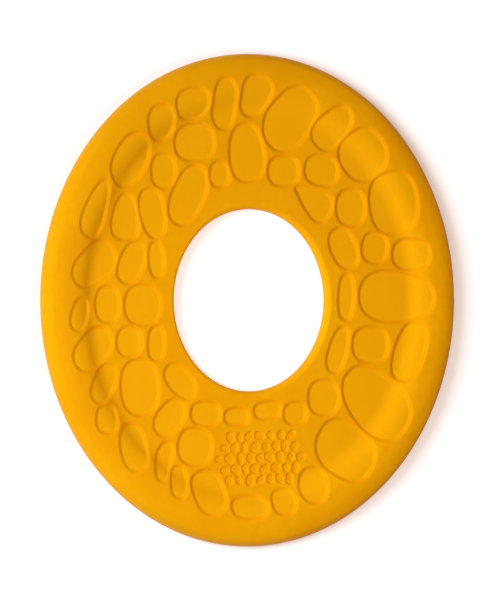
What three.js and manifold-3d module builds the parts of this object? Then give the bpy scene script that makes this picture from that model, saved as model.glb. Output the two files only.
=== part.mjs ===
// Soft flying ring for juggling and catching: a flat web with a thick rolled rim and a shallow
// relief of pebbles, moulded in one shot of self-skinning elastomer foam. A dense skin closes on
// a cellular core, and the skin is split at the mould's parting plane, half way up the rim.
import * as THREE from "three";
import { mergeVertices } from "three/addons/utils/BufferGeometryUtils.js";
import Module from "manifold-3d";

const wasm = await Module();
wasm.setup();

// Driving dimensions, millimetres. The ring's axis is Z, and radii are measured from it.
const OUTER_RADIUS = 101.5;
const HOLE_RADIUS = 37.5;
const RIM_THICKNESS = 10.8;
const SKIN_THICKNESS = 1.5;
const GAP = 0.3;

// Section of one face, from the hole outwards.
const LIP_WIDTH = 2.3;
const FILLET_START = 76.3;
const FILLET_RADIUS = 13;
const INNER_STEEPEST = THREE.MathUtils.degToRad(26);
const CREST_RADIUS = 90.65;
const CREST_LAND = 2;
const OUTER_STEEPEST = THREE.MathUtils.degToRad(18);
const SHOULDER_RADIUS = 98.3;
const EDGE_WIDTH = 4.7;

// Relief: how deep the pebbles and the finer gravel are pressed into the face.
const PEBBLE_DEPTH = 0.9;
const GRAVEL_DEPTH = 0.5;
const PEBBLE_SQUARENESS = 2.35;

// The patch of gravel between the pebbles under the hole: small ovals on a staggered grid inside
// an ellipse. Rows and columns are counted each way from the middle.
const GRAVEL_CENTRE = new THREE.Vector2(4, -65);
const GRAVEL_REACH = new THREE.Vector2(23, 13);
const GRAVEL_ROWS = 4;
const GRAVEL_COLUMNS = 6;
const GRAVEL_PITCH = 5;
const GRAVEL_ROW_PITCH = 4.5;
const GRAVEL_HALF_LENGTH = 2.1;
const GRAVEL_HALF_WIDTH = 1.6;
const GRAVEL_CLEARANCE = 0.5;

// No two stones are alike: each is moved off the grid by up to the wander and made larger or
// smaller by up to the variation, on waves that go on by these radians from stone to stone.
const GRAVEL_WANDER = 0.45;
const GRAVEL_VARIATION = 0.2;
const GRAVEL_WAVES = { x: 5, y: 5.8, length: 1.8, width: 3.4 };

// Degrees by which each stone is turned on from the one before.
const GRAVEL_TURN = 137.5;

// Each pebble: centre X and Y, half length, half width, turn of its length in degrees, and
// taper, which widens it towards the end that its length points to. Laid by hand.
const PEBBLES = [
  [54.3, 60.2, 11, 10.4, -45, 0],
  [69.7, 40.3, 13.3, 11.1, 98, 0],
  [78.5, 19, 8.5, 6.6, 0, 0],
  [49.2, 38.3, 7.8, 7.3, 90, 0],
  [30.3, 41.2, 10.2, 5.5, -34, 0.6],
  [34.6, 53.6, 8.4, 6.6, -10, 0],
  [39.2, 71.4, 10.4, 7.2, 50, -0.15],
  [18.2, 74.5, 14.2, 10.9, 52, 0.05],
  [15.8, 53.3, 7.8, 6.5, 0, 0],
  [-2.4, 60.8, 12.2, 8.7, 97, -0.1],
  [0.5, 84, 8.8, 7.2, 76, 0.2],
  [-14.3, 80.9, 10.8, 6, 93, 0],
  [-30.7, 80.8, 8.4, 6.7, 10, 0],
  [-46, 72.9, 7.5, 6.8, 90, 0],
  [-60.7, 57.6, 12, 8.6, 55, 0],
  [-43.4, 53, 7.3, 6.1, 90, 0],
  [-28.1, 64.7, 9.9, 7.9, 0, 0],
  [-31.3, 43.2, 13.4, 7.7, 62, 0],
  [-15.9, 51.8, 5.5, 4.9, 90, 0],
  [-77.7, 37.5, 12.6, 5.9, 69, -0.3],
  [-62.1, 34.2, 9.7, 6.5, 87, -0.3],
  [-48.8, 35.7, 10.6, 6.1, 103, 0.1],
  [-78.6, 14.4, 12.3, 8, 30, 0.12],
  [-59, 15.4, 9.4, 5.9, 62, 0],
  [-47, 16.6, 7.6, 3.8, 95, 0],
  [-70.8, -1.8, 7.7, 6, 90, 0],
  [-53.6, -2, 9, 8.5, 0, 0],
  [-60.3, -17, 6.3, 6.1, 90, 0],
  [-46.9, -17.8, 7.4, 4.2, 88, 0],
  [-85.8, -5.8, 7.2, 4.6, 70, 0],
  [-78.9, -20, 11.4, 7.3, 35, 0],
  [-73.4, -34.2, 9.1, 5.7, 52, 0],
  [-55, -35.7, 11.8, 9.4, 95, 0],
  [-35.3, -33.3, 8.8, 5.4, -42, 0],
  [-40.4, -48.4, 8.8, 6, 45, 0],
  [-22.6, -46.7, 7.4, 5.2, 0, 0],
  [-27.9, -60.3, 8.5, 7.9, -10, 0],
  [-72.6, -48.6, 6, 5.7, 90, 0],
  [-59.2, -60.4, 9.9, 7.2, 103, 0],
  [-43.7, -66.2, 8.7, 4.2, 68, 0],
  [-36.9, -74.7, 6.7, 4.6, 80, 0],
  [-22, -79, 9.5, 8.1, 115, 0],
  [-2.5, -85.3, 9, 4.8, 0, 0],
  [14.6, -83.3, 5.8, 5.4, 0, 0],
  [29.6, -76.6, 7.5, 6.6, 80, 0],
  [45.7, -62, 14.2, 11.5, -35, 0],
  [21.6, -46.8, 5.8, 4.7, 5, 0],
  [7.9, -45.4, 6.8, 3.8, 6, 0],
  [-7.4, -48, 6.1, 3.7, 0, 0],
  [35.8, -40.3, 7.7, 7.5, 0, 0],
  [60.7, -42.2, 17.8, 12, -42, 0.12],
  [43, -20.5, 10, 4.6, 71, -0.1],
  [59.1, -18.5, 9, 7.7, 0, 0],
  [71.3, 1.4, 17.8, 10.6, -3, -0.1],
  [77.6, -21.4, 12.8, 6.5, 69, 0],
  [47, 1.4, 9.8, 4, 87, 0],
  [45.7, 21.4, 9.2, 6.2, -58, 0],
  [61.2, 21.6, 6.5, 6.5, 80, 0],
];

// Facets round the axis, along each curve of the section, and round a pebble.
const TURN_STEPS = 60;
const LIP_STEPS = 4;
const ARC_STEPS = 2;
const EDGE_STEPS = 4;
const PEBBLE_STEPS = 14;
const GRAVEL_STEPS = 8;

// Vertices closer than this are one vertex.
const WELD_TOLERANCE = 1e-4;

const SKIN_COLOR = 0xf0a207;
const SKIN_ROUGHNESS = 0.55;
const CORE_COLOR = 0xf4b850;
const CORE_ROUGHNESS = 0.9;

// Radii and heights that follow from the driving dimensions. Heights are from the parting plane.
const LIP_END = HOLE_RADIUS + LIP_WIDTH;
const FILLET_END = FILLET_START + FILLET_RADIUS * Math.sin(INNER_STEEPEST);
const LAND_START = CREST_RADIUS - CREST_LAND / 2;
const LAND_END = CREST_RADIUS + CREST_LAND / 2;
const INNER_CROWN_RADIUS = (LAND_START - FILLET_END) / Math.sin(INNER_STEEPEST);
const OUTER_CROWN_RADIUS = (SHOULDER_RADIUS - LAND_END) / Math.sin(OUTER_STEEPEST);
const CREST_HEIGHT = RIM_THICKNESS / 2;
const WEB_HEIGHT = CREST_HEIGHT - (FILLET_RADIUS + INNER_CROWN_RADIUS) * (1 - Math.cos(INNER_STEEPEST));
const SHOULDER_HEIGHT = CREST_HEIGHT - OUTER_CROWN_RADIUS * (1 - Math.cos(OUTER_STEEPEST));
const EDGE_CENTRE = OUTER_RADIUS - EDGE_WIDTH;
const EDGE_HEIGHT = SHOULDER_HEIGHT / roundOff((SHOULDER_RADIUS - EDGE_CENTRE) / EDGE_WIDTH);
const CORE_INNER_RADIUS = LIP_END;
const CORE_OUTER_RADIUS = SHOULDER_RADIUS;

// Height of a unit circle at a distance t from its centre.
function roundOff(t) {
  return Math.sqrt(Math.max(0, 1 - t * t));
}

// How far a circle of the given radius has fallen away from its top, a distance d along.
function arcDrop(radius, d) {
  return radius - radius * roundOff(d / radius);
}

// Height of the moulded face above the parting plane at a radius.
function faceHeight(radius) {
  if (radius < LIP_END) return WEB_HEIGHT * roundOff((LIP_END - radius) / LIP_WIDTH);
  if (radius < FILLET_START) return WEB_HEIGHT;
  if (radius < FILLET_END) return WEB_HEIGHT + arcDrop(FILLET_RADIUS, radius - FILLET_START);
  if (radius < LAND_START) return CREST_HEIGHT - arcDrop(INNER_CROWN_RADIUS, LAND_START - radius);
  if (radius < LAND_END) return CREST_HEIGHT;
  if (radius < SHOULDER_RADIUS) return CREST_HEIGHT - arcDrop(OUTER_CROWN_RADIUS, radius - LAND_END);
  return EDGE_HEIGHT * roundOff((radius - EDGE_CENTRE) / EDGE_WIDTH);
}

// Values evenly spaced from a to b, without b.
function evenly(a, b, steps) {
  return Array.from({ length: steps }, (_, i) => a + ((b - a) * i) / steps);
}

// Radii of the quarter round of the lip, closer together where it turns steep.
function lipRadii() {
  return evenly(Math.PI / 2, 0, LIP_STEPS).map((turn) => LIP_END - LIP_WIDTH * Math.sin(turn));
}

// Radii of the rolled outer edge, from the shoulder to the widest point.
function edgeRadii() {
  const first = Math.asin((SHOULDER_RADIUS - EDGE_CENTRE) / EDGE_WIDTH);
  return evenly(first, Math.PI / 2, EDGE_STEPS).map((turn) => EDGE_CENTRE + EDGE_WIDTH * Math.sin(turn));
}

// Radii where the rim's section bends, between the web and the shoulder.
function rimRadii() {
  return [
    ...evenly(FILLET_START, FILLET_END, ARC_STEPS),
    ...evenly(FILLET_END, LAND_START, ARC_STEPS),
    LAND_START,
    ...evenly(LAND_END, SHOULDER_RADIUS, ARC_STEPS),
    SHOULDER_RADIUS,
  ];
}

// Outline of one skin's section, above the parting plane: the moulded face, the outer parting
// land, the inside of the skin over the core, and the inner parting land.
function skinSection() {
  const parting = GAP / 2;
  const innerWall = CORE_INNER_RADIUS - GAP;
  const outerWall = CORE_OUTER_RADIUS + GAP;
  const outside = [...lipRadii(), LIP_END, ...rimRadii(), ...edgeRadii().slice(1)]
    .filter((r) => faceHeight(r) > parting)
    .map((r) => new THREE.Vector2(r, faceHeight(r)));
  const inside = [innerWall, ...rimRadii(), outerWall]
    .reverse()
    .map((r) => new THREE.Vector2(r, faceHeight(Math.min(r, SHOULDER_RADIUS)) - SKIN_THICKNESS));
  return [
    new THREE.Vector2(HOLE_RADIUS, parting),
    ...outside,
    new THREE.Vector2(OUTER_RADIUS, parting),
    new THREE.Vector2(outerWall, parting),
    ...inside,
    new THREE.Vector2(innerWall, parting),
  ];
}

// Outline of the whole core's section: the faces' shape, drawn in by the skin and the gap.
function coreSection() {
  const inset = SKIN_THICKNESS + GAP;
  const top = [CORE_INNER_RADIUS, ...rimRadii()].map((r) => new THREE.Vector2(r, faceHeight(r) - inset));
  const bottom = top.map((p) => new THREE.Vector2(p.x, -p.y)).reverse();
  return [...top, ...bottom];
}

// Outline of the body under the floors of a relief that is cut to the given depth.
function floorSection(depth) {
  const floorHeight = (r) => faceHeight(THREE.MathUtils.clamp(r, LIP_END, SHOULDER_RADIUS)) - depth;
  const floorRadii = [HOLE_RADIUS, LIP_END, ...rimRadii(), OUTER_RADIUS];
  return [
    ...floorRadii.map((r) => new THREE.Vector2(r, floorHeight(r))),
    new THREE.Vector2(OUTER_RADIUS, -CREST_HEIGHT),
    new THREE.Vector2(HOLE_RADIUS, -CREST_HEIGHT),
  ];
}

// Only positions, with the vertices that coincide made one.
function welded(geometry) {
  geometry.deleteAttribute("normal");
  geometry.deleteAttribute("uv");
  return mergeVertices(geometry, WELD_TOLERANCE);
}

// A solid of revolution about Z from a closed outline that runs clockwise in radius and height.
function revolve(outline) {
  const closed = [...outline, outline[0]].reverse();
  return welded(new THREE.LatheGeometry(closed, TURN_STEPS).rotateX(Math.PI / 2));
}

// The body inside a closed surface, ready to cut and join.
function toSolid(geometry) {
  const vertProperties = new Float32Array(geometry.attributes.position.array);
  const triVerts = new Uint32Array(geometry.index.array);
  return new wasm.Manifold(new wasm.Mesh({ numProp: 3, vertProperties, triVerts }));
}

// The surface of a body.
function toGeometry(solid) {
  const mesh = solid.getMesh();
  return new THREE.BufferGeometry()
    .setAttribute("position", new THREE.BufferAttribute(mesh.vertProperties, 3))
    .setIndex(new THREE.BufferAttribute(mesh.triVerts, 1));
}

// Position of one point of a pebble's outline: a tapered superellipse, turned and moved in place.
function pebblePoint([x, y, halfLength, halfWidth, turn, taper], angle) {
  const along = Math.sign(Math.cos(angle)) * Math.abs(Math.cos(angle)) ** (2 / PEBBLE_SQUARENESS);
  const across = Math.sign(Math.sin(angle)) * Math.abs(Math.sin(angle)) ** (2 / PEBBLE_SQUARENESS);
  const point = new THREE.Vector2(halfLength * along, halfWidth * across * (1 + taper * along));
  point.rotateAround(new THREE.Vector2(), THREE.MathUtils.degToRad(turn));
  return point.add(new THREE.Vector2(x, y));
}

// A prism of a pebble's outline that stands from the parting plane to above the crest.
function pebblePrism(pebble, steps) {
  const outline = evenly(0, 2 * Math.PI, steps).map((angle) => pebblePoint(pebble, angle));
  const options = { depth: RIM_THICKNESS, bevelEnabled: false };
  return toSolid(welded(new THREE.ExtrudeGeometry(new THREE.Shape(outline), options)));
}

// Whether a point lies inside a pebble that is made larger by a margin all round.
function insideGrown([centreX, centreY, halfLength, halfWidth, turn, taper], x, y, margin) {
  const local = new THREE.Vector2(x - centreX, y - centreY);
  local.rotateAround(new THREE.Vector2(), -THREE.MathUtils.degToRad(turn));
  const along = local.x / (halfLength + margin);
  const spread = 1 + taper * THREE.MathUtils.clamp(along, -1, 1);
  const across = local.y / (halfWidth + margin) / spread;
  return Math.abs(along) ** PEBBLE_SQUARENESS + Math.abs(across) ** PEBBLE_SQUARENESS < 1;
}

// One stone of the gravel, in the same form as a pebble.
function gravelStone(row, column, number) {
  const stagger = Math.abs(row % 2) / 2;
  const wander = (wave) => GRAVEL_WANDER * Math.sin(wave * number);
  const scale = (wave) => 1 + GRAVEL_VARIATION * Math.sin(wave * number);
  return [
    GRAVEL_CENTRE.x + (column + stagger) * GRAVEL_PITCH + wander(GRAVEL_WAVES.x),
    GRAVEL_CENTRE.y + row * GRAVEL_ROW_PITCH + wander(GRAVEL_WAVES.y),
    GRAVEL_HALF_LENGTH * scale(GRAVEL_WAVES.length),
    GRAVEL_HALF_WIDTH * scale(GRAVEL_WAVES.width),
    GRAVEL_TURN * number,
    0,
  ];
}

// Whether a stone lies inside the gravel's ellipse and clear of the pebbles.
function fits([x, y, halfLength]) {
  const away = new THREE.Vector2(x, y).sub(GRAVEL_CENTRE).divide(GRAVEL_REACH).length();
  const margin = GRAVEL_CLEARANCE + halfLength;
  return away <= 1 && !PEBBLES.some((pebble) => insideGrown(pebble, x, y, margin));
}

// The stones of the gravel that fit between the pebbles.
function gravel() {
  const stones = [];
  let number = 0;
  for (let row = -GRAVEL_ROWS; row <= GRAVEL_ROWS; row += 1) {
    for (let column = -GRAVEL_COLUMNS; column <= GRAVEL_COLUMNS; column += 1) {
      number += 1;
      stones.push(gravelStone(row, column, number));
    }
  }
  return stones.filter(fits);
}

// A skin with pebbles pressed into its face to one depth.
function pressed(skin, pebbles, steps, depth) {
  const prisms = wasm.Manifold.union(pebbles.map((pebble) => pebblePrism(pebble, steps)));
  const above = prisms.subtract(toSolid(revolve(floorSection(depth))));
  return skin.subtract(above);
}

function elastomer(color, roughness) {
  return new THREE.MeshStandardMaterial({ color, roughness, metalness: 0 });
}

function subPart(name, geometry, material) {
  geometry.computeVertexNormals();
  const mesh = new THREE.Mesh(geometry, material);
  mesh.name = name;
  return mesh;
}

function frontSkin() {
  const plain = toSolid(revolve(skinSection()));
  const pebbled = pressed(plain, PEBBLES, PEBBLE_STEPS, PEBBLE_DEPTH);
  const finished = pressed(pebbled, gravel(), GRAVEL_STEPS, GRAVEL_DEPTH);
  return subPart("front_skin", toGeometry(finished), elastomer(SKIN_COLOR, SKIN_ROUGHNESS));
}

// The back skin is a front skin without the gravel, turned over about Y.
function backSkin() {
  const plain = toSolid(revolve(skinSection()));
  const pebbled = toGeometry(pressed(plain, PEBBLES, PEBBLE_STEPS, PEBBLE_DEPTH));
  const mesh = subPart("back_skin", pebbled, elastomer(SKIN_COLOR, SKIN_ROUGHNESS));
  mesh.rotation.y = Math.PI;
  return mesh;
}

function foamCore() {
  return subPart("foam_core", revolve(coreSection()), elastomer(CORE_COLOR, CORE_ROUGHNESS));
}

const ring = new THREE.Group();
ring.name = "flying_ring";
ring.add(frontSkin(), backSkin(), foamCore());
ring.position.z = CREST_HEIGHT;

export default ring;
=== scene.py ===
"""A soft moulded flying ring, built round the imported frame.

The ring's lengths are millimetres until a mesh is made, and then metres. The camera, the lights and
the floor are in metres. The ring's axis is Z, radii are measured from it, and heights are measured
from the parting plane, half way up the rim.
"""
import itertools
import math

import bpy
import numpy as np
from mathutils import Matrix, Vector
from mathutils.geometry import delaunay_2d_cdt


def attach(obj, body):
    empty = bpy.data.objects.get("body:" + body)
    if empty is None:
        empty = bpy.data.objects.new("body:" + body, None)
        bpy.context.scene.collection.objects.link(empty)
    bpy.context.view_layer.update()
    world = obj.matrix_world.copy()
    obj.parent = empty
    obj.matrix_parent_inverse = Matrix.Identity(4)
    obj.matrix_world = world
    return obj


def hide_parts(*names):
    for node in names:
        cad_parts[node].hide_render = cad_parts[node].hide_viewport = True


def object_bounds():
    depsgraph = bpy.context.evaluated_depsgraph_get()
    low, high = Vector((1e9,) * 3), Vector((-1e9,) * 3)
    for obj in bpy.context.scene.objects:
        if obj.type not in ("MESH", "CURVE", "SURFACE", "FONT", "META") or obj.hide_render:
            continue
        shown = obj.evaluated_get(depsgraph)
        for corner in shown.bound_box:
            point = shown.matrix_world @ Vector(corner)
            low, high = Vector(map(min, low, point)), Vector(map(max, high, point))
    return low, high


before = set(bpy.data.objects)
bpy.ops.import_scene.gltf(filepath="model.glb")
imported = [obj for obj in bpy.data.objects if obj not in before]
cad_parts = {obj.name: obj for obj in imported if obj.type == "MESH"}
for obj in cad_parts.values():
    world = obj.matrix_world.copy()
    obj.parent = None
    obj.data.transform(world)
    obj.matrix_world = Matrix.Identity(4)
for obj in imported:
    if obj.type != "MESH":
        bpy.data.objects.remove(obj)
cad_low, cad_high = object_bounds()

MM = 0.001

# The outside of the ring, from the frame.
OUTER_RADIUS = (cad_high.x - cad_low.x) / 2 / MM
CREST_HEIGHT = (cad_high.z - cad_low.z) / 2 / MM

# Section of one face, from the hole outwards.
HOLE_RADIUS = 37.5
LIP_WIDTH = 2.3
FILLET_START = 76.3
FILLET_RADIUS = 13.0
INNER_STEEPEST = math.radians(26)
CREST_RADIUS = 90.65
CREST_LAND = 2.0
OUTER_STEEPEST = math.radians(18)
SHOULDER_RADIUS = 98.3
EDGE_WIDTH = 4.7

# Thickness of the skins, and the clearance between them and the core.
SKIN_THICKNESS = 1.5
CORE_GAP = 0.3

# Relief: how deep the pebbles and gravel are pressed in, and how wide their sloping walls are.
PEBBLE_DEPTH = 0.9
PEBBLE_WALL = 2.4
GRAVEL_DEPTH = 0.5
GRAVEL_WALL = 1.0

# The power that shapes every outline: 2 makes an ellipse, and more makes it squarer.
SQUARENESS = 2.35

# The patch of gravel between the pebbles under the hole: small ovals on a staggered grid inside
# an ellipse. Rows and columns are counted each way from the middle.
GRAVEL_CENTRE = (4, -65)
GRAVEL_REACH = (23, 13)
GRAVEL_ROWS = 4
GRAVEL_COLUMNS = 6
GRAVEL_PITCH = 5
GRAVEL_ROW_PITCH = 4.5
GRAVEL_HALF_LENGTH = 2.1
GRAVEL_HALF_WIDTH = 1.6
GRAVEL_CLEARANCE = 0.5

# No two stones are alike: each is moved off the grid by up to the wander and made larger or
# smaller by up to the variation, on waves that go on by these radians from stone to stone.
GRAVEL_WANDER = 0.45
GRAVEL_VARIATION = 0.2
GRAVEL_WAVES = {"x": 5, "y": 5.8, "length": 1.8, "width": 3.4}

# Degrees by which each stone is turned on from the one before.
GRAVEL_TURN = 137.5

# Each pebble: centre x and y, half length, half width, turn of its length in degrees, and taper,
# which widens it towards the end that its length points to. The CAD skins have the same ones.
PEBBLES = [
    (54.3, 60.2, 11, 10.4, -45, 0),
    (69.7, 40.3, 13.3, 11.1, 98, 0),
    (78.5, 19, 8.5, 6.6, 0, 0),
    (49.2, 38.3, 7.8, 7.3, 90, 0),
    (30.3, 41.2, 10.2, 5.5, -34, 0.6),
    (34.6, 53.6, 8.4, 6.6, -10, 0),
    (39.2, 71.4, 10.4, 7.2, 50, -0.15),
    (18.2, 74.5, 14.2, 10.9, 52, 0.05),
    (15.8, 53.3, 7.8, 6.5, 0, 0),
    (-2.4, 60.8, 12.2, 8.7, 97, -0.1),
    (0.5, 84, 8.8, 7.2, 76, 0.2),
    (-14.3, 80.9, 10.8, 6, 93, 0),
    (-30.7, 80.8, 8.4, 6.7, 10, 0),
    (-46, 72.9, 7.5, 6.8, 90, 0),
    (-60.7, 57.6, 12, 8.6, 55, 0),
    (-43.4, 53, 7.3, 6.1, 90, 0),
    (-28.1, 64.7, 9.9, 7.9, 0, 0),
    (-31.3, 43.2, 13.4, 7.7, 62, 0),
    (-15.9, 51.8, 5.5, 4.9, 90, 0),
    (-77.7, 37.5, 12.6, 5.9, 69, -0.3),
    (-62.1, 34.2, 9.7, 6.5, 87, -0.3),
    (-48.8, 35.7, 10.6, 6.1, 103, 0.1),
    (-78.6, 14.4, 12.3, 8, 30, 0.12),
    (-59, 15.4, 9.4, 5.9, 62, 0),
    (-47, 16.6, 7.6, 3.8, 95, 0),
    (-70.8, -1.8, 7.7, 6, 90, 0),
    (-53.6, -2, 9, 8.5, 0, 0),
    (-60.3, -17, 6.3, 6.1, 90, 0),
    (-46.9, -17.8, 7.4, 4.2, 88, 0),
    (-85.8, -5.8, 7.2, 4.6, 70, 0),
    (-78.9, -20, 11.4, 7.3, 35, 0),
    (-73.4, -34.2, 9.1, 5.7, 52, 0),
    (-55, -35.7, 11.8, 9.4, 95, 0),
    (-35.3, -33.3, 8.8, 5.4, -42, 0),
    (-40.4, -48.4, 8.8, 6, 45, 0),
    (-22.6, -46.7, 7.4, 5.2, 0, 0),
    (-27.9, -60.3, 8.5, 7.9, -10, 0),
    (-72.6, -48.6, 6, 5.7, 90, 0),
    (-59.2, -60.4, 9.9, 7.2, 103, 0),
    (-43.7, -66.2, 8.7, 4.2, 68, 0),
    (-36.9, -74.7, 6.7, 4.6, 80, 0),
    (-22, -79, 9.5, 8.1, 115, 0),
    (-2.5, -85.3, 9, 4.8, 0, 0),
    (14.6, -83.3, 5.8, 5.4, 0, 0),
    (29.6, -76.6, 7.5, 6.6, 80, 0),
    (45.7, -62, 14.2, 11.5, -35, 0),
    (21.6, -46.8, 5.8, 4.7, 5, 0),
    (7.9, -45.4, 6.8, 3.8, 6, 0),
    (-7.4, -48, 6.1, 3.7, 0, 0),
    (35.8, -40.3, 7.7, 7.5, 0, 0),
    (60.7, -42.2, 17.8, 12, -42, 0.12),
    (43, -20.5, 10, 4.6, 71, -0.1),
    (59.1, -18.5, 9, 7.7, 0, 0),
    (71.3, 1.4, 17.8, 10.6, -3, -0.1),
    (77.6, -21.4, 12.8, 6.5, 69, 0),
    (47, 1.4, 9.8, 4, 87, 0),
    (45.7, 21.4, 9.2, 6.2, -58, 0),
    (61.2, 21.6, 6.5, 6.5, 80, 0),
]

# How fine the meshes are: steps round the axis, spacings of the face's points, and rows.
TURN_STEPS = 480
FACE_SPACING = 1.25
WALL_SPACING = 0.8
LEAST_SPACING = 0.24
LIP_ROWS = 9
EDGE_ROWS = 12
INSIDE_ROWS = 24
CORE_ROWS = 48

# The spacing along the gravel's walls, as a share of the spacing along the pebbles' walls.
GRAVEL_FINENESS = 0.7

# Rows of points across a wall, as shares of its width from its middle outwards, in the order in
# which they claim their places: the middle, the shoulders, the foot and the top.
WALL_ROWS = (0, -0.25, 0.25, -0.5, 0.5)

# Open points keep this far off the walls, and each ring of them is turned on by these radians.
OPEN_CLEARANCE = FACE_SPACING / 3
OPEN_TURN = 1.1

# An outline is measured at this many samples, and gets at least this many points.
OUTLINE_SAMPLES = 721
LEAST_OUTLINE_POINTS = 16

# What keeps the distance from an outline steady far from it: where the taper stops growing, in
# half lengths, and the least size and slope to divide by.
TAPER_LIMIT = 1.5
LEAST_SIZE = 0.1
LEAST_SLOPE = 0.5

# No pebble reaches further from its centre than its longer half length times this.
PEBBLE_REACH = 1.3

# How far to each side a normal looks, how near two points are welded, and the angle from which
# an edge is sharp.
NORMAL_STEP = 0.04
WELD_DISTANCE = 1e-6
SHARP_ANGLE = math.radians(50)

# The parting line: how far each skin stops short of the plane, and the little chamfer before it.
PARTING_GAP = 0.02
PARTING_CHAMFER = 0.16

# The skin's colours: its palest and deepest patches, the pebbles' floors, and a darker, redder
# colour on the walls, which is painted shade in the recesses.
SKIN_LIGHT = (0.645, 0.296, 0.0015)
SKIN_DEEP = (0.600, 0.254, 0.0010)
SKIN_FLOOR = (0.655, 0.305, 0.0017)
SKIN_WALL_SHADE = (0.67, 0.195, 0.0006)

# How much of the floors' colour and of the walls' painted shade shows, and of the deep colour in the
# mottling.
FLOOR_SHARE = 0.5
WALL_SHADE_SHARE = 0.38
MOTTLE_SHARE = 0.6

# Sizes in millimetres of the skin's cloudy patches, mottling, patches of polish, orange peel and
# grain, and the part of each noise's range that is used.
CLOUD_SIZE = 28
MOTTLE_SIZE = 3
POLISH_SIZE = 6
PEEL_SIZE = 2
GRAIN_SIZE = 0.3
PATCH_RANGE = (0.3, 0.7)
MOTTLE_RANGE = (0.35, 0.7)

# The skin's finish. Heights are in millimetres.
SKIN_ROUGHNESS = (0.46, 0.58)
SKIN_SPECULAR = 0.10
SKIN_TINT = (1, 0.5, 0.02, 1)
PEEL_HEIGHT = 0.022
GRAIN_HEIGHT = 0.010

# The foam core's colours, its cells and the finer grain between them. Millimetres.
CORE_PALE = (0.92, 0.50, 0.08)
CORE_DEEP = (0.80, 0.36, 0.03)
CORE_ROUGHNESS = 0.92
CELL_SIZE = 0.9
CELL_HEIGHT = 0.15
FOAM_GRAIN_SIZE = 0.4
FOAM_GRAIN_HEIGHT = 0.05

# Camera: tilted from the ring's axis towards -X, far off with a long lens. Metres, except for the
# sensor's width, which is in millimetres.
VIEW_TILT = math.radians(-33.6)
VIEW_DISTANCE = 6.0
VIEW_HEIGHT = 0.2473
AIM_RIGHT = 0.00045
AIM_UP = 0.0001
SENSOR_WIDTH = 36
CLIP_END = 100

# Lights, each by clock angle from +X and height over the floor in degrees, distance and size in
# metres, power in watts and colour: a cool key in warmer surroundings.
KEY = dict(clock=173, elevation=31, distance=3.0, size=1.5, power=109.0, color=(0.88, 1, 1.14))
FILL = dict(clock=232, elevation=68, distance=0.25, size=0.20, power=0.33, color=(1, 1, 1))
SIDE = dict(clock=25, elevation=72, distance=0.30, size=0.15, power=0.17, color=(1, 0.78, 0.6))
WORLD_COLOR = (1, 0.45, 0.25, 1)
WORLD_STRENGTH = 0.21

# The floor, which glows a little so that its shadows stay pale.
FLOOR_HALF = 4.0
FLOOR_COLOR = (0.93, 0.93, 0.93, 1)
FLOOR_GLOW_COLOR = (0.95, 1, 1, 1)
FLOOR_GLOW = 0.19
FLOOR_ROUGHNESS = 0.9
FLOOR_SPECULAR = 0.1

# Radii that follow from the section.
LIP_END = HOLE_RADIUS + LIP_WIDTH
FILLET_END = FILLET_START + FILLET_RADIUS * math.sin(INNER_STEEPEST)
LAND_START = CREST_RADIUS - CREST_LAND / 2
LAND_END = CREST_RADIUS + CREST_LAND / 2
INNER_CROWN_RADIUS = (LAND_START - FILLET_END) / math.sin(INNER_STEEPEST)
OUTER_CROWN_RADIUS = (SHOULDER_RADIUS - LAND_END) / math.sin(OUTER_STEEPEST)
WEB_HEIGHT = CREST_HEIGHT - (FILLET_RADIUS + INNER_CROWN_RADIUS) * (1 - math.cos(INNER_STEEPEST))
SHOULDER_HEIGHT = CREST_HEIGHT - OUTER_CROWN_RADIUS * (1 - math.cos(OUTER_STEEPEST))
EDGE_CENTRE = OUTER_RADIUS - EDGE_WIDTH
SHOULDER_TURN = math.asin((SHOULDER_RADIUS - EDGE_CENTRE) / EDGE_WIDTH)
EDGE_HEIGHT = SHOULDER_HEIGHT / math.cos(SHOULDER_TURN)


def arc_drop(radius, distance):
    """How far a circle has fallen away from its top, a distance along."""
    inside = np.clip(1 - (distance / radius) ** 2, 0, 1)
    return radius * (1 - np.sqrt(inside))


def plain_height(radius):
    """Height of the face without its relief, from the end of the lip to the shoulder."""
    return np.select(
        [radius < FILLET_START, radius < FILLET_END, radius < LAND_START, radius < LAND_END],
        [
            np.full_like(radius, WEB_HEIGHT),
            WEB_HEIGHT + arc_drop(FILLET_RADIUS, radius - FILLET_START),
            CREST_HEIGHT - arc_drop(INNER_CROWN_RADIUS, LAND_START - radius),
            np.full_like(radius, CREST_HEIGHT),
        ],
        CREST_HEIGHT - arc_drop(OUTER_CROWN_RADIUS, radius - LAND_END),
    )


def inside_grown(pebble, x, y, margin):
    """Whether a point lies inside a pebble that is made larger by a margin all round."""
    centre_x, centre_y, half_length, half_width, turn, taper = pebble
    cos, sin = math.cos(math.radians(turn)), math.sin(math.radians(turn))
    dx, dy = x - centre_x, y - centre_y
    along = (dx * cos + dy * sin) / (half_length + margin)
    spread = 1 + taper * min(max(along, -1), 1)
    across = (dy * cos - dx * sin) / (half_width + margin) / spread
    return abs(along) ** SQUARENESS + abs(across) ** SQUARENESS < 1


def gravel_stone(row, column, number):
    """One stone of the gravel, in the same form as a pebble."""
    wave = {name: math.sin(radians * number) for name, radians in GRAVEL_WAVES.items()}
    return (
        GRAVEL_CENTRE[0] + (column + row % 2 / 2) * GRAVEL_PITCH + GRAVEL_WANDER * wave["x"],
        GRAVEL_CENTRE[1] + row * GRAVEL_ROW_PITCH + GRAVEL_WANDER * wave["y"],
        GRAVEL_HALF_LENGTH * (1 + GRAVEL_VARIATION * wave["length"]),
        GRAVEL_HALF_WIDTH * (1 + GRAVEL_VARIATION * wave["width"]),
        GRAVEL_TURN * number,
        0,
    )


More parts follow.
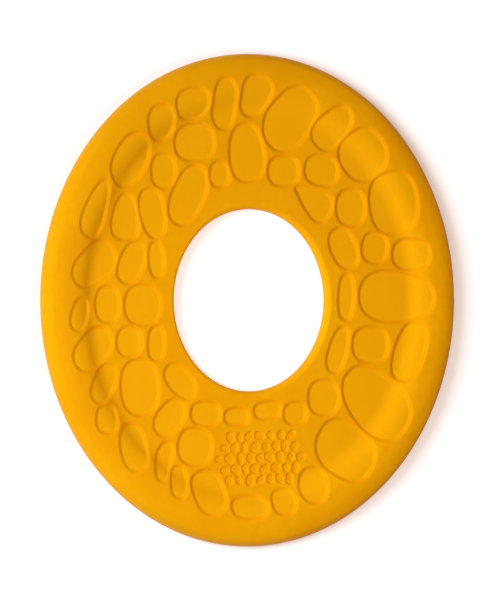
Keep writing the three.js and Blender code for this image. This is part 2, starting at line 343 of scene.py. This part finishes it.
def fits(stone):
    """Whether a stone lies inside the gravel's ellipse and clear of the pebbles."""
    x, y, half_length = stone[:3]
    away = math.hypot((x - GRAVEL_CENTRE[0]) / GRAVEL_REACH[0], (y - GRAVEL_CENTRE[1]) / GRAVEL_REACH[1])
    margin = GRAVEL_CLEARANCE + half_length
    return away <= 1 and not any(inside_grown(pebble, x, y, margin) for pebble in PEBBLES)


def gravel():
    """The stones of the gravel that fit between the pebbles."""
    places = itertools.product(
        range(-GRAVEL_ROWS, GRAVEL_ROWS + 1), range(-GRAVEL_COLUMNS, GRAVEL_COLUMNS + 1)
    )
    stones = [gravel_stone(row, column, i + 1) for i, (row, column) in enumerate(places)]
    return [stone for stone in stones if fits(stone)]


def outline_distance(points, pebble):
    """Distance of each point from a pebble's outline, negative inside it, true near the outline."""
    x, y, half_length, half_width, turn, taper = pebble
    cos, sin = math.cos(math.radians(turn)), math.sin(math.radians(turn))
    dx, dy = points[:, 0] - x, points[:, 1] - y
    along = (dx * cos + dy * sin) / half_length
    spread = 1 + taper * np.clip(along, -TAPER_LIMIT, TAPER_LIMIT)
    across = (dy * cos - dx * sin) / half_width / spread
    size = (abs(along) ** SQUARENESS + abs(across) ** SQUARENESS) ** (1 / SQUARENESS)
    size = np.maximum(size, LEAST_SIZE)
    power = SQUARENESS - 1
    pull_along = np.sign(along) * (abs(along) / size) ** power
    pull_across = np.sign(across) * (abs(across) / size) ** power
    slope = np.hypot(
        (pull_along - pull_across * across * taper / spread) / half_length,
        pull_across / spread / half_width,
    )
    return (size - 1) / np.maximum(slope, LEAST_SLOPE / half_length)


def nearby(points, pebble, margin):
    """Which points are within a margin of a pebble's round outside."""
    reach = PEBBLE_REACH * max(pebble[2], pebble[3]) + margin
    return np.hypot(points[:, 0] - pebble[0], points[:, 1] - pebble[1]) < reach


def pressed(points, pebbles, wall):
    """How far down each point is pressed, from 0 on the face to 1 on a floor."""
    standing = np.ones(len(points))
    for pebble in pebbles:
        near = nearby(points, pebble, wall)
        step = np.clip(0.5 - outline_distance(points[near], pebble) / wall, 0, 1)
        standing[near] *= 1 - step * step * (3 - 2 * step)
    return 1 - standing


def relief(points, stones):
    """Depth of the relief at each point."""
    depth = PEBBLE_DEPTH * pressed(points, PEBBLES, PEBBLE_WALL)
    return depth + GRAVEL_DEPTH * pressed(points, stones, GRAVEL_WALL)


def face(points, stones):
    """Height of the finished face at each point."""
    return plain_height(np.hypot(points[:, 0], points[:, 1])) - relief(points, stones)


def face_normals(points, stones):
    """The finished face's normals, from its height a little to each side."""
    right, up = np.array([NORMAL_STEP, 0]), np.array([0, NORMAL_STEP])
    slope_x = (face(points + right, stones) - face(points - right, stones)) / (2 * NORMAL_STEP)
    slope_y = (face(points + up, stones) - face(points - up, stones)) / (2 * NORMAL_STEP)
    normals = np.column_stack([-slope_x, -slope_y, np.ones(len(points))])
    return normals / np.linalg.norm(normals, axis=1)[:, None]


def circle(radius, count, start=0.0):
    """Points evenly round the axis, from an angle on."""
    angle = start + np.arange(count) * (2 * math.pi / count)
    return np.column_stack([radius * np.cos(angle), radius * np.sin(angle)])


def outline(pebble, spacing):
    """Points evenly along a pebble's outline, and the outward normals there."""
    x, y, half_length, half_width, turn, taper = pebble
    angle = np.linspace(0, 2 * math.pi, OUTLINE_SAMPLES)
    cos, sin = np.cos(angle), np.sin(angle)
    along = np.sign(cos) * abs(cos) ** (2 / SQUARENESS)
    across = np.sign(sin) * abs(sin) ** (2 / SQUARENESS) * (1 + taper * along)
    local = np.column_stack([along * half_length, across * half_width])
    length = np.append(0, np.cumsum(np.hypot(*np.diff(local, axis=0).T)))
    count = max(LEAST_OUTLINE_POINTS, round(length[-1] / spacing))
    even = np.arange(count) * length[-1] / count
    local = np.column_stack([np.interp(even, length, local[:, 0]), np.interp(even, length, local[:, 1])])
    tangent = np.roll(local, -1, axis=0) - np.roll(local, 1, axis=0)
    normal = np.column_stack([tangent[:, 1], -tangent[:, 0]])
    normal /= np.linalg.norm(normal, axis=1)[:, None]
    turned = Matrix.Rotation(math.radians(turn), 2)
    matrix = np.array([list(row) for row in turned])
    return local @ matrix.T + (x, y), normal @ matrix.T


def wall_points(stones):
    """Points along every wall, row by row."""
    gravel_spacing = WALL_SPACING * GRAVEL_FINENESS
    kinds = [(PEBBLES, PEBBLE_WALL, WALL_SPACING), (stones, GRAVEL_WALL, gravel_spacing)]
    rows = []
    for share in WALL_ROWS:
        for pebbles, wall, spacing in kinds:
            for pebble in pebbles:
                points, normals = outline(pebble, spacing)
                rows.append(points + normals * share * wall)
    return np.concatenate(rows)


def spaced(points, least):
    """The points in order, without any that is too near an earlier one."""
    cells = {}
    kept = []
    for x, y in points:
        column, row = int(x // least), int(y // least)
        around = [cells.get((column + i, row + j)) for i in (-1, 0, 1) for j in (-1, 0, 1)]
        if all(p is None or math.hypot(p[0] - x, p[1] - y) >= least for p in around):
            cells[column, row] = (x, y)
            kept.append((x, y))
    return np.array(kept)


def open_points(stones):
    """Points spread evenly over the face, clear of the walls."""
    rows = []
    count = round((SHOULDER_RADIUS - LIP_END) / FACE_SPACING)
    for i in range(1, count):
        radius = LIP_END + (SHOULDER_RADIUS - LIP_END) * i / count
        around = round(2 * math.pi * radius / FACE_SPACING)
        rows.append(circle(radius, around, start=i * OPEN_TURN))
    points = np.concatenate(rows)
    clear = np.ones(len(points), bool)
    for pebbles, wall in ((PEBBLES, PEBBLE_WALL), (stones, GRAVEL_WALL)):
        for pebble in pebbles:
            near = np.flatnonzero(nearby(points, pebble, wall + FACE_SPACING))
            distance = outline_distance(points[near], pebble)
            clear[near[abs(distance) < wall / 2 + OPEN_CLEARANCE]] = False
    return points[clear]


def face_mesh(stones):
    """The face between the lip and the shoulder: its points, and triangles facing up.
    The first points are the circle at the lip's end and the circle at the shoulder."""
    inner = circle(LIP_END, TURN_STEPS)
    outer = circle(SHOULDER_RADIUS, TURN_STEPS)
    middle = spaced(np.concatenate([wall_points(stones), open_points(stones)]), LEAST_SPACING)
    points = np.concatenate([inner, outer, middle])
    ring = [(i, (i + 1) % TURN_STEPS) for i in range(TURN_STEPS)]
    edges = ring + [(a + TURN_STEPS, b + TURN_STEPS) for a, b in ring]
    made = delaunay_2d_cdt([Vector(p) for p in points], edges, [], 0, WELD_DISTANCE)
    points = np.array([tuple(v) for v in made[0]])
    triangles = np.array(made[2])
    centres = points[triangles].mean(axis=1)
    triangles = triangles[np.hypot(centres[:, 0], centres[:, 1]) > LIP_END]
    return points, triangles


def edge_section():
    """Radius, height and normal of the rolled outer edge, from the shoulder to the chamfer."""
    last = math.acos(PARTING_CHAMFER / EDGE_HEIGHT)
    rows = []
    for i in range(1, EDGE_ROWS + 1):
        turn = SHOULDER_TURN + (last - SHOULDER_TURN) * i / EDGE_ROWS
        normal = (math.sin(turn) / EDGE_WIDTH, math.cos(turn) / EDGE_HEIGHT)
        rows.append((EDGE_CENTRE + EDGE_WIDTH * math.sin(turn), EDGE_HEIGHT * math.cos(turn), normal))
    return rows


def lip_section():
    """Radius, height and normal of the rounded lip, from the chamfer to the face."""
    last = math.acos(PARTING_CHAMFER / WEB_HEIGHT)
    rows = []
    for i in range(LIP_ROWS, 0, -1):
        turn = last * i / LIP_ROWS
        normal = (-math.sin(turn) / LIP_WIDTH, math.cos(turn) / WEB_HEIGHT)
        rows.append((LIP_END - LIP_WIDTH * math.sin(turn), WEB_HEIGHT * math.cos(turn), normal))
    return rows


def inside_section():
    """Radius and height of the parting lands and of the skin's inside, from the rim to the hole.
    Their normals are left to the mesh."""
    outer_wall, inner_wall = SHOULDER_RADIUS + CORE_GAP, LIP_END - CORE_GAP
    radii = np.linspace(SHOULDER_RADIUS, LIP_END, INSIDE_ROWS)
    heights = plain_height(radii) - SKIN_THICKNESS
    rows = [
        (OUTER_RADIUS - PARTING_CHAMFER, PARTING_GAP),
        (outer_wall, PARTING_GAP),
        (outer_wall, heights[0]),
        *zip(radii[1:-1], heights[1:-1]),
        (inner_wall, heights[-1]),
        (inner_wall, PARTING_GAP),
        (HOLE_RADIUS + PARTING_CHAMFER, PARTING_GAP),
    ]
    return [(radius, height, (0, 0)) for radius, height in rows]


def strips(rows):
    """The quads between each row of vertices round the axis and the next."""
    pairs = zip(rows, rows[1:])
    return np.concatenate([np.column_stack([np.roll(a, -1), a, b, np.roll(b, -1)]) for a, b in pairs])


def shade_smooth(mesh):
    """Smooth shading, except across sharp edges."""
    mesh.polygons.foreach_set("use_smooth", np.ones(len(mesh.polygons), bool))
    mesh.set_sharp_from_angle(angle=SHARP_ANGLE)


def skin_mesh(name, stones):
    """One skin, as the front skin lies: the face with its relief, the edge, the inside and the lip."""
    points, triangles = face_mesh(stones)
    depth = relief(points, stones)
    lip_circle = np.arange(TURN_STEPS)
    vertices = [np.column_stack([points, face(points, stones)])]
    normals = [face_normals(points, stones)]
    rows = [lip_circle + TURN_STEPS]
    around = circle(1, TURN_STEPS)
    for radius, height, (outward, upward) in edge_section() + inside_section() + lip_section():
        rows.append(lip_circle + sum(map(len, vertices)))
        vertices.append(np.column_stack([around * radius, np.full(TURN_STEPS, height)]))
        normals.append(np.column_stack([around * outward, np.full(TURN_STEPS, upward)]))
    rows.append(lip_circle)
    quads = strips(rows)
    vertices = np.concatenate(vertices)
    mesh = bpy.data.meshes.new(name)
    mesh.from_pydata((vertices * MM).tolist(), [], triangles.tolist() + quads.tolist())
    mesh.validate()
    pressed_in = mesh.attributes.new("pressed", "FLOAT", "POINT")
    pressed_in.data.foreach_set("value", np.pad(depth, (0, len(vertices) - len(depth))) / PEBBLE_DEPTH)
    shade_smooth(mesh)
    mesh.normals_split_custom_set_from_vertices(np.concatenate(normals).tolist())
    return mesh


def core_mesh(name):
    """The foam core: the faces' shape, drawn in by the skin and the gap."""
    inset = SKIN_THICKNESS + CORE_GAP
    radii = np.linspace(LIP_END, SHOULDER_RADIUS, CORE_ROWS)
    heights = plain_height(radii) - inset
    section = [*zip(radii, heights), *zip(radii[::-1], -heights[::-1])]
    around = circle(1, TURN_STEPS)
    vertices = []
    for radius, height in section:
        vertices.append(np.column_stack([around * radius, np.full(TURN_STEPS, height)]))
    rows = [np.arange(TURN_STEPS) + TURN_STEPS * i for i in range(len(section))]
    quads = strips([*rows, rows[0]])
    mesh = bpy.data.meshes.new(name)
    mesh.from_pydata((np.concatenate(vertices) * MM).tolist(), [], quads.tolist())
    shade_smooth(mesh)
    return mesh


def add_piece(name, mesh, material, node):
    """A mesh as a piece of the ring that stands for a CAD node."""
    mesh.materials.append(material)
    piece = bpy.data.objects.new(name, mesh)
    bpy.context.scene.collection.objects.link(piece)
    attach(piece, "root")
    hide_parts(node)
    return piece


def node(tree, kind, **values):
    """A shader node, with the sockets that are named by words set."""
    made = tree.nodes.new(kind)
    for key, value in values.items():
        made.inputs[key.replace("_", " ")].default_value = value
    return made


def new_material(name):
    """A material with nothing in it but a Principled shader."""
    material = bpy.data.materials.new(name)
    material.use_nodes = True
    material.node_tree.nodes.clear()
    shader = material.node_tree.nodes.new("ShaderNodeBsdfPrincipled")
    output = material.node_tree.nodes.new("ShaderNodeOutputMaterial")
    material.node_tree.links.new(shader.outputs["BSDF"], output.inputs["Surface"])
    return material, material.node_tree, shader


def mixed(tree, factor, low, high):
    """A colour that goes from low to high with a factor. Each may be a colour or a socket."""
    mix = tree.nodes.new("ShaderNodeMix")
    mix.data_type = "RGBA"
    tree.links.new(factor, mix.inputs["Factor"])
    # The colour sockets are taken by place, as the sockets of other types share their names.
    for socket, value in ((mix.inputs[6], low), (mix.inputs[7], high)):
        if isinstance(value, tuple):
            socket.default_value = (*value, 1)
        else:
            tree.links.new(value, socket)
    return mix.outputs[2]


def ranged(tree, value, low, high, to_low, to_high):
    """A value mapped from one range to another."""
    mapped = node(tree, "ShaderNodeMapRange", From_Min=low, From_Max=high, To_Min=to_low, To_Max=to_high)
    tree.links.new(value, mapped.inputs["Value"])
    return mapped.outputs["Result"]


def noise(tree, coordinates, size, detail):
    """Noise whose features are about a given size in millimetres."""
    made = node(tree, "ShaderNodeTexNoise", Scale=1 / (size * MM), Detail=detail)
    tree.links.new(coordinates, made.inputs["Vector"])
    return made.outputs["Fac"]


def bumped(tree, shader, layers):
    """Bumps of (height socket, distance in millimetres), one on another, on a shader."""
    normal = None
    for height, distance in layers:
        bump = node(tree, "ShaderNodeBump", Strength=1, Distance=distance * MM)
        tree.links.new(height, bump.inputs["Height"])
        if normal is not None:
            tree.links.new(normal, bump.inputs["Normal"])
        normal = bump.outputs["Normal"]
    tree.links.new(normal, shader.inputs["Normal"])


def wall_shade_share(tree, pressed_in):
    """How much painted shade shows on the walls: most half way down a wall, none off it."""
    middle = node(tree, "ShaderNodeMath")
    middle.operation = "PINGPONG"
    middle.inputs[1].default_value = 0.5
    tree.links.new(pressed_in, middle.inputs[0])
    return ranged(tree, middle.outputs[0], 0, 0.5, 0, WALL_SHADE_SHARE)


def elastomer():
    """The dense moulded skin: mustard orange, satin, with a faint orange peel and fine grain."""
    material, tree, shader = new_material("elastomer_skin")
    place = tree.nodes.new("ShaderNodeTexCoord").outputs["Object"]
    pressed_in = tree.nodes.new("ShaderNodeAttribute")
    pressed_in.attribute_name = "pressed"
    cloud = ranged(tree, noise(tree, place, CLOUD_SIZE, 2), *PATCH_RANGE, 0, 1)
    body = mixed(tree, cloud, SKIN_DEEP, SKIN_LIGHT)
    mottle = ranged(tree, noise(tree, place, MOTTLE_SIZE, 4), *MOTTLE_RANGE, 0, MOTTLE_SHARE)
    body = mixed(tree, mottle, body, SKIN_DEEP)
    floor_share = ranged(tree, pressed_in.outputs["Fac"], 0, 1, 0, FLOOR_SHARE)
    body = mixed(tree, floor_share, body, SKIN_FLOOR)
    # The pebbles' and gravel's walls are darkened and reddened here: painted shade in the recesses.
    body = mixed(tree, wall_shade_share(tree, pressed_in.outputs["Fac"]), body, SKIN_WALL_SHADE)
    tree.links.new(body, shader.inputs["Base Color"])
    polish = noise(tree, place, POLISH_SIZE, 3)
    roughness = ranged(tree, polish, *PATCH_RANGE, *SKIN_ROUGHNESS)
    tree.links.new(roughness, shader.inputs["Roughness"])
    shader.inputs["Specular IOR Level"].default_value = SKIN_SPECULAR
    shader.inputs["Specular Tint"].default_value = SKIN_TINT
    peel = noise(tree, place, PEEL_SIZE, 2)
    grain = noise(tree, place, GRAIN_SIZE, 2)
    bumped(tree, shader, [(peel, PEEL_HEIGHT), (grain, GRAIN_HEIGHT)])
    return material


def foam():
    """The cellular core: paler, matt, with fine cells."""
    material, tree, shader = new_material("foam_core")
    place = tree.nodes.new("ShaderNodeTexCoord").outputs["Object"]
    cells = node(tree, "ShaderNodeTexVoronoi", Scale=1 / (CELL_SIZE * MM))
    tree.links.new(place, cells.inputs["Vector"])
    body = mixed(tree, cells.outputs["Distance"], CORE_DEEP, CORE_PALE)
    tree.links.new(body, shader.inputs["Base Color"])
    shader.inputs["Roughness"].default_value = CORE_ROUGHNESS
    grain = noise(tree, place, FOAM_GRAIN_SIZE, 2)
    bumped(tree, shader, [(cells.outputs["Distance"], CELL_HEIGHT), (grain, FOAM_GRAIN_HEIGHT)])
    return material


def build_ring():
    skin = elastomer()
    lift = Matrix.Translation((0, 0, CREST_HEIGHT * MM))
    front = skin_mesh("front_skin_moulding", gravel())
    front.transform(lift)
    add_piece("front_skin_moulding", front, skin, "front_skin")
    back = skin_mesh("back_skin_moulding", [])
    back.transform(lift @ Matrix.Rotation(math.pi, 4, "Y"))
    add_piece("back_skin_moulding", back, skin, "back_skin")
    core = core_mesh("foam_core_moulding")
    core.transform(lift)
    add_piece("foam_core_moulding", core, foam(), "foam_core")


def build_floor():
    material, tree, shader = new_material("pale_floor")
    shader.inputs["Base Color"].default_value = FLOOR_COLOR
    shader.inputs["Roughness"].default_value = FLOOR_ROUGHNESS
    shader.inputs["Specular IOR Level"].default_value = FLOOR_SPECULAR
    shader.inputs["Emission Color"].default_value = FLOOR_GLOW_COLOR
    shader.inputs["Emission Strength"].default_value = FLOOR_GLOW
    mesh = bpy.data.meshes.new("floor")
    corners = [(x * FLOOR_HALF, y * FLOOR_HALF, 0) for x, y in ((-1, -1), (1, -1), (1, 1), (-1, 1))]
    mesh.from_pydata(corners, [], [(0, 1, 2, 3)])
    mesh.materials.append(material)
    floor = bpy.data.objects.new("floor", mesh)
    bpy.context.scene.collection.objects.link(floor)


def add_camera():
    back = Vector((math.sin(VIEW_TILT), 0, math.cos(VIEW_TILT)))
    up = Vector((0, 1, 0))
    right = up.cross(back)
    aim = Vector((0, 0, CREST_HEIGHT * MM)) + right * AIM_RIGHT + up * AIM_UP
    data = bpy.data.cameras.new("camera")
    data.sensor_width = SENSOR_WIDTH
    data.lens = SENSOR_WIDTH * VIEW_DISTANCE / VIEW_HEIGHT
    data.clip_end = CLIP_END
    camera = bpy.data.objects.new("camera", data)
    turn = Matrix((right, up, back)).transposed().to_4x4()
    camera.matrix_world = Matrix.Translation(aim + back * VIEW_DISTANCE) @ turn
    bpy.context.scene.collection.objects.link(camera)
    bpy.context.scene.camera = camera


def add_light(name, clock, elevation, distance, size, power, color):
    """A round soft box that faces the ring's centre."""
    clock, elevation = math.radians(clock), math.radians(elevation)
    flat = Vector((math.cos(clock), math.sin(clock), 0))
    toward = flat * math.cos(elevation) + Vector((0, 0, math.sin(elevation)))
    data = bpy.data.lights.new(name, "AREA")
    data.shape = "DISK"
    data.size = size
    data.energy = power
    data.color = color
    light = bpy.data.objects.new(name, data)
    light.location = toward * distance
    light.rotation_mode = "QUATERNION"
    light.rotation_quaternion = toward.to_track_quat("Z", "Y")
    light.visible_camera = False
    bpy.context.scene.collection.objects.link(light)


def add_lights():
    add_light("key", **KEY)
    add_light("fill", **FILL)
    add_light("side", **SIDE)
    world = bpy.data.worlds.new("studio")
    world.use_nodes = True
    background = world.node_tree.nodes["Background"]
    background.inputs["Color"].default_value = WORLD_COLOR
    background.inputs["Strength"].default_value = WORLD_STRENGTH
    bpy.context.scene.world = world
    bpy.context.scene.view_settings.view_transform = "Standard"


build_floor()
build_ring()
add_camera()
add_lights()
